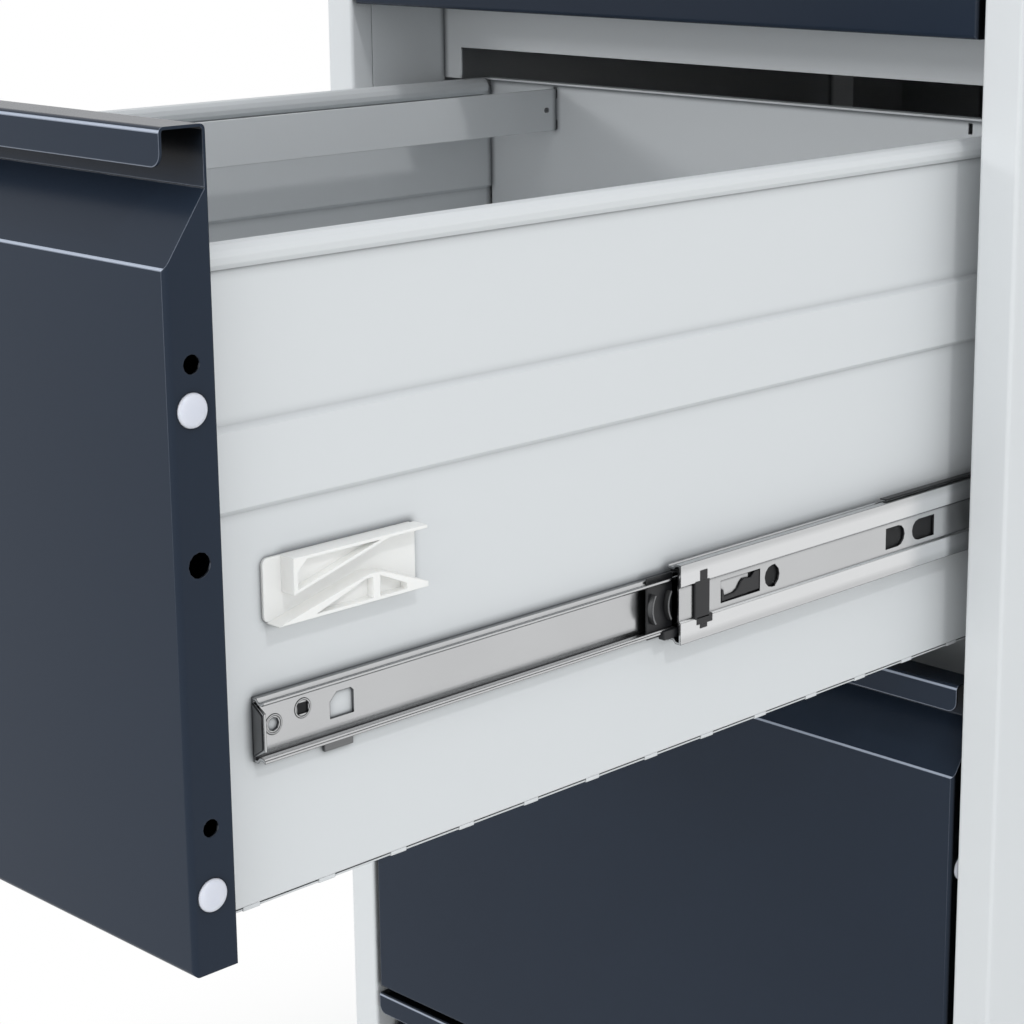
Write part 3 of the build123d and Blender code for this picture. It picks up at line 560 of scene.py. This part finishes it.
def turn_round(shape, profile, middle, closed):
    """Turns a row of vertices round a line along X; a closed row ends where it starts."""
    following = profile[1:] + profile[:1] if closed else profile[1:]
    edges = [shape.edges.new(pair) for pair in zip(profile, following)]
    bmesh.ops.spin(shape, geom=profile + edges, cent=middle, axis=(1, 0, 0), angle=2 * math.pi,
                   steps=ROUND_SIDES, use_merge=True)


def add_dome(shape, x, y, z, radius, rise):
    """Low dome that faces +X, on a flat base at x."""
    profile = [shape.verts.new((x, y, z)), shape.verts.new((x, y + radius, z))]
    for step in range(1, BUMPER_RINGS + 1):
        angle = step / BUMPER_RINGS * math.pi / 2
        reach = radius * math.cos(angle) ** BUMPER_ROUNDNESS
        profile.append(shape.verts.new((x + rise * math.sin(angle), y + reach, z)))
    turn_round(shape, profile, (x, y, z), closed=False)


def add_ring(shape, x, y, z, radius, width, rise):
    """Ring pressed up out of a web that faces +X, on a flat base at x."""
    crest = width * RING_CREST
    corners = ((0, -width), (rise, -crest), (rise, crest), (0, width))
    profile = [shape.verts.new((x + up, y + radius + out, z)) for up, out in corners]
    turn_round(shape, profile, (x, y, z), closed=True)


def weld(shape):
    """Joins the vertices that lie on each other where a dome comes to its axis."""
    bmesh.ops.remove_doubles(shape, verts=shape.verts, dist=MERGE_REACH)


def smooth(piece):
    """Shades every face of a piece smoothly."""
    for face in piece.data.polygons:
        face.use_smooth = True


def make_bumpers(number):
    """Milky domes in place of the plain bumpers of a drawer's front."""
    front_low, front_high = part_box(f"drawer_{number}_front_panel")
    shape = bmesh.new()
    for level in BUMPER_LEVELS:
        add_dome(shape, front_high.x, front_low.y + BUMPER_SETBACK, front_low.z + level, BUMPER_RADIUS,
                 BUMPER_RISE)
    weld(shape)
    mirror_pair(shape)
    made = new_piece(f"drawer_{number}_bumper_domes", shape, "white_nylon", f"drawer_{number}",
                     BUMPER_MATERIAL)
    smooth(made)
    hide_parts(f"drawer_{number}_bumpers")


def make_slide_clips(number):
    """Black clip that wraps the front end of each middle member."""
    low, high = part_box(f"drawer_{number}_slide_middle_members")
    level = slide_level(number)
    across = (high.x - CLIP_DEPTH, high.x - CLIP_DEPTH + CLIP_THICKNESS)
    strip = (low.y + CLIP_START, low.y + CLIP_START + CLIP_WIDTH)
    tab = (low.y + CLIP_TAB_START, low.y + CLIP_TAB_START + CLIP_TAB_WIDTH)
    foot = (low.y + CLIP_FOOT_START, low.y + CLIP_FOOT_START + CLIP_FOOT_WIDTH)
    shape = bmesh.new()
    add_bar(shape, across, strip, (level - CLIP_HALF, level + CLIP_HALF), CLIP_ROUNDING)
    add_bar(shape, across, tab, (level + CLIP_HALF, level + CLIP_TAB_TOP), CLIP_ROUNDING)
    add_bar(shape, across, tab, (level - CLIP_TAB_TOP, level + CLIP_FOOT_BASE), CLIP_ROUNDING)
    add_bar(shape, across, foot, (level + CLIP_FOOT_BASE, level + CLIP_FOOT_TOP), CLIP_ROUNDING)
    mirror_pair(shape)
    new_piece(f"drawer_{number}_slide_clips", shape, "foot_plastic", f"drawer_{number}_middle_members")


def make_release_levers(number):
    """Black release lever behind the long window of each middle member, and the bright spring beside it."""
    low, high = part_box(f"drawer_{number}_slide_middle_members")
    level = slide_level(number)
    body = f"drawer_{number}_middle_members"
    back = high.x - LEVER_DEPTH
    start, end = SPRING_REACH
    spring = bmesh.new()
    add_bar(spring, (back - SPRING_BACK, back + SPRING_FRONT), (low.y + start, low.y + end),
            (level - SPRING_HALF, level + SPRING_HALF))
    mirror_pair(spring)
    new_piece(f"drawer_{number}_lever_springs", spring, "zinc_steel", body)
    lever = bmesh.new()
    outline = [(low.y + along * MM, level + up * MM) for along, up in LEVER_OUTLINE]
    add_plate(lever, outline, back, LEVER_THICKNESS, LEVER_ROUNDING)
    mirror_pair(lever)
    new_piece(f"drawer_{number}_release_levers", lever, "foot_plastic", body)


def make_cage_strips(number):
    """Folded strips in place of the plain channels of the ball cages."""
    node_name = f"drawer_{number}_slide_ball_cages"
    low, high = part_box(node_name)
    along = (low.y + CAGE_END_LENGTH, high.y)
    walls = (high.x - CAGE_DEPTH, high.x - CAGE_WALL)
    strip = bmesh.new()
    add_bar(strip, (high.x - CAGE_WALL, high.x), along, (low.z, high.z), CAGE_STRIP_ROUNDING)
    add_bar(strip, walls, along, (high.z - CAGE_WALL, high.z))
    add_bar(strip, walls, along, (low.z, low.z + CAGE_WALL))
    mirror_pair(strip)
    made = new_piece(f"drawer_{number}_cage_strips", strip, "cage_steel", f"drawer_{number}_ball_cages")
    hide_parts(node_name)


def make_cage_ends(number):
    """Black moulded end of each ball cage: a web, and a short rail at its foot."""
    low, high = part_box(f"drawer_{number}_slide_ball_cages")
    web = high.x - CAGE_WEB_SETBACK
    back = low.y + CAGE_END_LENGTH
    end = bmesh.new()
    add_bar(end, (high.x - CAGE_DEPTH, web), (low.y, back), (low.z + CAGE_WALL, high.z - CAGE_WALL),
            CAGE_END_ROUNDING)
    add_bar(end, (web, high.x), (back - CAGE_RAIL_LENGTH, back), (low.z, low.z + CAGE_RAIL_HEIGHT),
            CAGE_END_ROUNDING)
    mirror_pair(end)
    new_piece(f"drawer_{number}_cage_ends", end, "foot_plastic", f"drawer_{number}_ball_cages")


def make_cage_hooks(number):
    """Bent hooks that stand on the moulded end of each ball cage."""
    low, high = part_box(f"drawer_{number}_slide_ball_cages")
    level = (low.z + high.z) / 2
    web = high.x - CAGE_WEB_SETBACK
    outer = high.x - CAGE_WALL
    half_span = math.radians(CAGE_HOOK_SPAN / 2)
    reach = CAGE_HOOK_RADIUS * math.cos(half_span)
    drop = CAGE_HOOK_RADIUS * math.sin(half_span)
    inner = 1 - CAGE_HOOK_WIDTH / CAGE_HOOK_RADIUS
    hooks = bmesh.new()
    for place in CAGE_HOOK_PLACES:
        middle = Vector((0, low.y + place + CAGE_HOOK_RADIUS, level))
        corners = [hooks.verts.new((x, middle.y - reach * share, level - drop * share))
                   for x, share in ((web, 1), (outer, 1), (outer, inner), (web, inner))]
        face = hooks.faces.new(corners)
        bmesh.ops.spin(hooks, geom=[face, *face.edges, *corners], cent=middle, axis=(1, 0, 0),
                       angle=-2 * half_span, steps=CAGE_HOOK_STEPS)
    mirror_pair(hooks)
    # darker zinc paints the shade on the hooks
    new_piece(f"drawer_{number}_cage_hooks", hooks, "zinc_steel", f"drawer_{number}_ball_cages", PAINTED_SHADE_ZINC)


def make_outer_cages(number):
    """Ball cages of the outer races: dark strips that lie above and below the middle members."""
    low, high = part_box(f"drawer_{number}_slide_middle_members")
    across = (high.x - OUTER_CAGE_INSET - OUTER_CAGE_WIDTH, high.x - OUTER_CAGE_INSET)
    along = (low.y + OUTER_CAGE_START, high.y - OUTER_CAGE_TAIL)
    shape = bmesh.new()
    for base in (high.z + OUTER_CAGE_GAP, low.z - OUTER_CAGE_GAP - OUTER_CAGE_HEIGHT):
        add_bar(shape, across, along, (base, base + OUTER_CAGE_HEIGHT), OUTER_CAGE_ROUNDING)
    mirror_pair(shape)
    new_piece(f"drawer_{number}_outer_cages", shape, "cage_steel", f"drawer_{number}_middle_members")


def make_slide_pressings(number):
    """Rings pressed round the holes of the drawer members."""
    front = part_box(f"drawer_{number}_slide_drawer_members")[0].y
    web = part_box(f"drawer_{number}_lock_cam")[0].x + WEB_THICKNESS
    shape = bmesh.new()
    for (back, up), (radius, width) in ((LATCH_PLACE, LATCH_RING), (NOTCH_PLACE, NOTCH_RING)):
        add_ring(shape, web, front + back, slide_level(number) + up, radius, width, RING_RISE)
    weld(shape)
    mirror_pair(shape)
    smooth(new_piece(f"drawer_{number}_slide_pressings", shape, "zinc_steel", f"drawer_{number}"))


def make_slide_latches(number):
    """Dark latch behind the square hole of each drawer member."""
    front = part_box(f"drawer_{number}_slide_drawer_members")[0].y
    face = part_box(f"drawer_{number}_lock_cam")[0].x + LATCH_INSET
    back, up = LATCH_PLACE
    length, height = LATCH_SIZE
    middle = front + back
    level = slide_level(number) + up
    shape = bmesh.new()
    add_bar(shape, (face, face + LATCH_THICKNESS), (middle - length / 2, middle + length / 2),
            (level - height / 2, level + height / 2))
    mirror_pair(shape)
    new_piece(f"drawer_{number}_slide_latches", shape, "cage_steel", f"drawer_{number}")


def make_slide_tabs(number):
    """Sheared faces of the hanger tab and the stop tab of each drawer member, in duller zinc darkened as
    painted shade.
    """
    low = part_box(f"drawer_{number}_slide_drawer_members")[0]
    level = slide_level(number)
    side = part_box(f"drawer_{number}_lock_cam")[0].x
    web = side + WEB_THICKNESS
    hanger = low.y + HANGER_START
    tabs = bmesh.new()
    add_bar(tabs, (web - TAB_OVERLAP, web + TAB_SKIN), (hanger, hanger + HANGER_LENGTH),
            (low.z - TAB_OVERLAP, low.z + HANGER_HEIGHT), HANGER_ROUNDING)
    root = side + STOP_FACE_START
    tip = side + STOP_FACE_REACH
    outline = ((root, -STOP_FACE_ROOT), (tip, -STOP_FACE_HALF), (tip, STOP_FACE_HALF), (root, STOP_FACE_ROOT))
    face = tabs.faces.new([tabs.verts.new((x, low.y + TAB_OVERLAP, level + up)) for x, up in outline])
    grown = bmesh.ops.extrude_face_region(tabs, geom=[face])["geom"]
    bmesh.ops.translate(tabs, vec=(0, -STOP_FACE_THICKNESS, 0),
                        verts=[v for v in grown if isinstance(v, bmesh.types.BMVert)])
    mirror_pair(tabs)
    new_piece(f"drawer_{number}_slide_tabs", tabs, "zinc_steel", f"drawer_{number}", PAINTED_SHADE_ZINC)


def make_side_tabs(number):
    """The bottom's lip, which hangs below each side, the tongues of the side that hold it, and a dark strip
    in the gap above the lip as painted shade.
    """
    low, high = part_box(f"drawer_{number}_side_right")
    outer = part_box(f"drawer_{number}_lock_cam")[0].x
    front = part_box(f"drawer_{number}_front_panel")[0].y
    inner = outer - SIDE_LIP_WIDTH
    lip_top = low.z - SIDE_LIP_GAP
    lip_base = low.z - SIDE_LIP_DROP
    # dark strip as painted shade in the gap above the lip
    gap = bmesh.new()
    add_bar(gap, (inner, outer - 2 * SIDE_LIP_INSET), (low.y, high.y), (lip_top, low.z))
    mirror_pair(gap)
    new_piece(f"drawer_{number}_lip_gap_shades", gap, "cage_steel", f"drawer_{number}")
    lip = bmesh.new()
    add_bar(lip, (inner, outer - SIDE_LIP_INSET), (low.y, high.y), (lip_base, lip_top))
    tab = front + SIDE_TAB_FIRST
    while tab + SIDE_TAB_LENGTH < high.y:
        add_bar(lip, (inner, outer), (tab, tab + SIDE_TAB_LENGTH),
                (lip_base - SIDE_TAB_DROP, low.z + SIDE_TAB_OVERLAP), SIDE_TAB_ROUNDING)
        tab += SIDE_TAB_PITCH
    mirror_pair(lip)
    new_piece(f"drawer_{number}_side_tabs", lip, "carcass_paint", f"drawer_{number}")


def make_bar_fixings(number):
    """Dark rivet at the rear end of the file bar, and grey plates in the slots of its hooks that paint the
    shade seen through them.
    """
    low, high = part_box(f"drawer_{number}_file_bar")
    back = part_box(f"drawer_{number}_back")[1].y - WEB_THICKNESS
    level = (low.z + high.z) / 2
    shape = bmesh.new()
    for side in (-1, 1):
        slot = level + side * BAR_SLOT_PITCH / 2
        add_bar(shape, (high.x, high.x + BAR_SLOT_WIDTH), (back - BAR_SLOT_RISE, back + WEB_THICKNESS / 2),
                (slot - BAR_SLOT_HEIGHT / 2, slot + BAR_SLOT_HEIGHT / 2))
    add_ring(shape, high.x, back - BAR_RIVET_SETBACK, level, BAR_RIVET_RADIUS / 2, BAR_RIVET_RADIUS / 2,
             RING_RISE)
    weld(shape)
    new_piece(f"drawer_{number}_bar_fixings", shape, "zinc_steel", f"drawer_{number}", PAINTED_SHADE_ZINC)


def add_light(name, place, target, size, power):
    """Soft rectangular light that faces its target."""
    light = bpy.data.lights.new(name, "AREA")
    light.shape = "RECTANGLE"
    light.size, light.size_y = size
    light.energy = power
    made = bpy.data.objects.new(name, light)
    bpy.context.scene.collection.objects.link(made)
    made.location = place
    made.rotation_euler = (Vector(target) - Vector(place)).to_track_quat("-Z", "Y").to_euler()


def seen_white(tree):
    """Is 1 for what the camera sees, and what gloss and glass show of it."""
    path = node(tree, "LightPath")
    seen = path["Is Camera Ray"]
    for ray in ("Is Glossy Ray", "Is Transmission Ray"):
        seen = node(tree, "Math", {0: seen, 1: path[ray]}, operation="MAXIMUM")["Value"]
    return seen


def make_world():
    """Soft light from all round, in front of a plain white."""
    world = bpy.data.worlds.new("studio")
    bpy.context.scene.world = world
    world.use_nodes = True
    tree = world.node_tree
    tree.nodes.clear()
    around = node(tree, "Background", {"Color": STUDIO_GREY, "Strength": STUDIO_STRENGTH})["Background"]
    white = node(tree, "Background", {"Color": PLAIN_WHITE, "Strength": 1.0})["Background"]
    mixed = node(tree, "MixShader", {"Fac": seen_white(tree), 1: around, 2: white})["Shader"]
    node(tree, "OutputWorld", {"Surface": mixed})


def pale_floor(name):
    """Pale matt floor that fades into the white round it."""
    material, tree, place = new_material(name)
    reach = node(tree, "VectorMath", {0: place}, operation="LENGTH")["Value"]
    start, end = FLOOR_FADE
    fade = node(tree, "MapRange", {"Value": reach, "From Min": start, "From Max": end},
                interpolation_type="SMOOTHSTEP")["Result"]
    amount = node(tree, "Math", {0: fade, 1: seen_white(tree)}, operation="MULTIPLY")["Value"]
    grain = node(tree, "TexNoise", {"Vector": place, "Scale": 1 / FLOOR_GRAIN, "Detail": 3.0})["Fac"]
    pale = shades(FLOOR_WHITE, FLOOR_MOTTLE)
    colour = node(tree, "Mix", {"Factor": grain, **pale}, data_type="RGBA")["Result"]
    plain = node(tree, "BsdfDiffuse", {"Color": colour})["BSDF"]
    white = node(tree, "Emission", {"Color": PLAIN_WHITE, "Strength": 1.0})["Emission"]
    mixed = node(tree, "MixShader", {"Fac": amount, 1: plain, 2: white})["Shader"]
    node(tree, "OutputMaterial", {"Surface": mixed})
    return material


def make_floor():
    """Plain floor just under the feet."""
    shape = bmesh.new()
    bmesh.ops.create_grid(shape, x_segments=1, y_segments=1, size=FLOOR_REACH)
    bmesh.ops.translate(shape, vec=(0, 0, -FLOOR_DROP), verts=shape.verts)
    mesh = bpy.data.meshes.new("floor")
    shape.to_mesh(mesh)
    shape.free()
    mesh.materials.append(pale_floor("pale_floor"))
    made = bpy.data.objects.new("floor", mesh)
    bpy.context.scene.collection.objects.link(made)


def make_camera():
    """Camera at the photograph's viewing angle."""
    data = bpy.data.cameras.new("camera")
    data.lens = CAMERA_LENS
    data.sensor_width = CAMERA_SENSOR
    data.shift_x, data.shift_y = CAMERA_SHIFT
    made = bpy.data.objects.new("camera", data)
    bpy.context.scene.collection.objects.link(made)
    turn = Matrix.Rotation(math.radians(CAMERA_YAW), 4, "Z") @ Matrix.Rotation(
        math.radians(90 - CAMERA_PITCH), 4, "X") @ Matrix.Rotation(math.radians(CAMERA_ROLL), 4, "Z")
    made.matrix_world = Matrix.Translation(CAMERA_PLACE) @ turn
    bpy.context.scene.camera = made


finish_frame_nodes()
for drawer in DRAWERS:
    make_bumpers(drawer)
    make_slide_clips(drawer)
    make_release_levers(drawer)
    make_cage_strips(drawer)
    make_cage_ends(drawer)
    make_cage_hooks(drawer)
    make_outer_cages(drawer)
    make_slide_pressings(drawer)
    make_slide_latches(drawer)
    make_slide_tabs(drawer)
    make_side_tabs(drawer)
    make_bar_fixings(drawer)

bpy.context.scene.view_settings.view_transform = "Standard"
make_world()
make_floor()
make_camera()
for light in LIGHTS:
    add_light(*light)
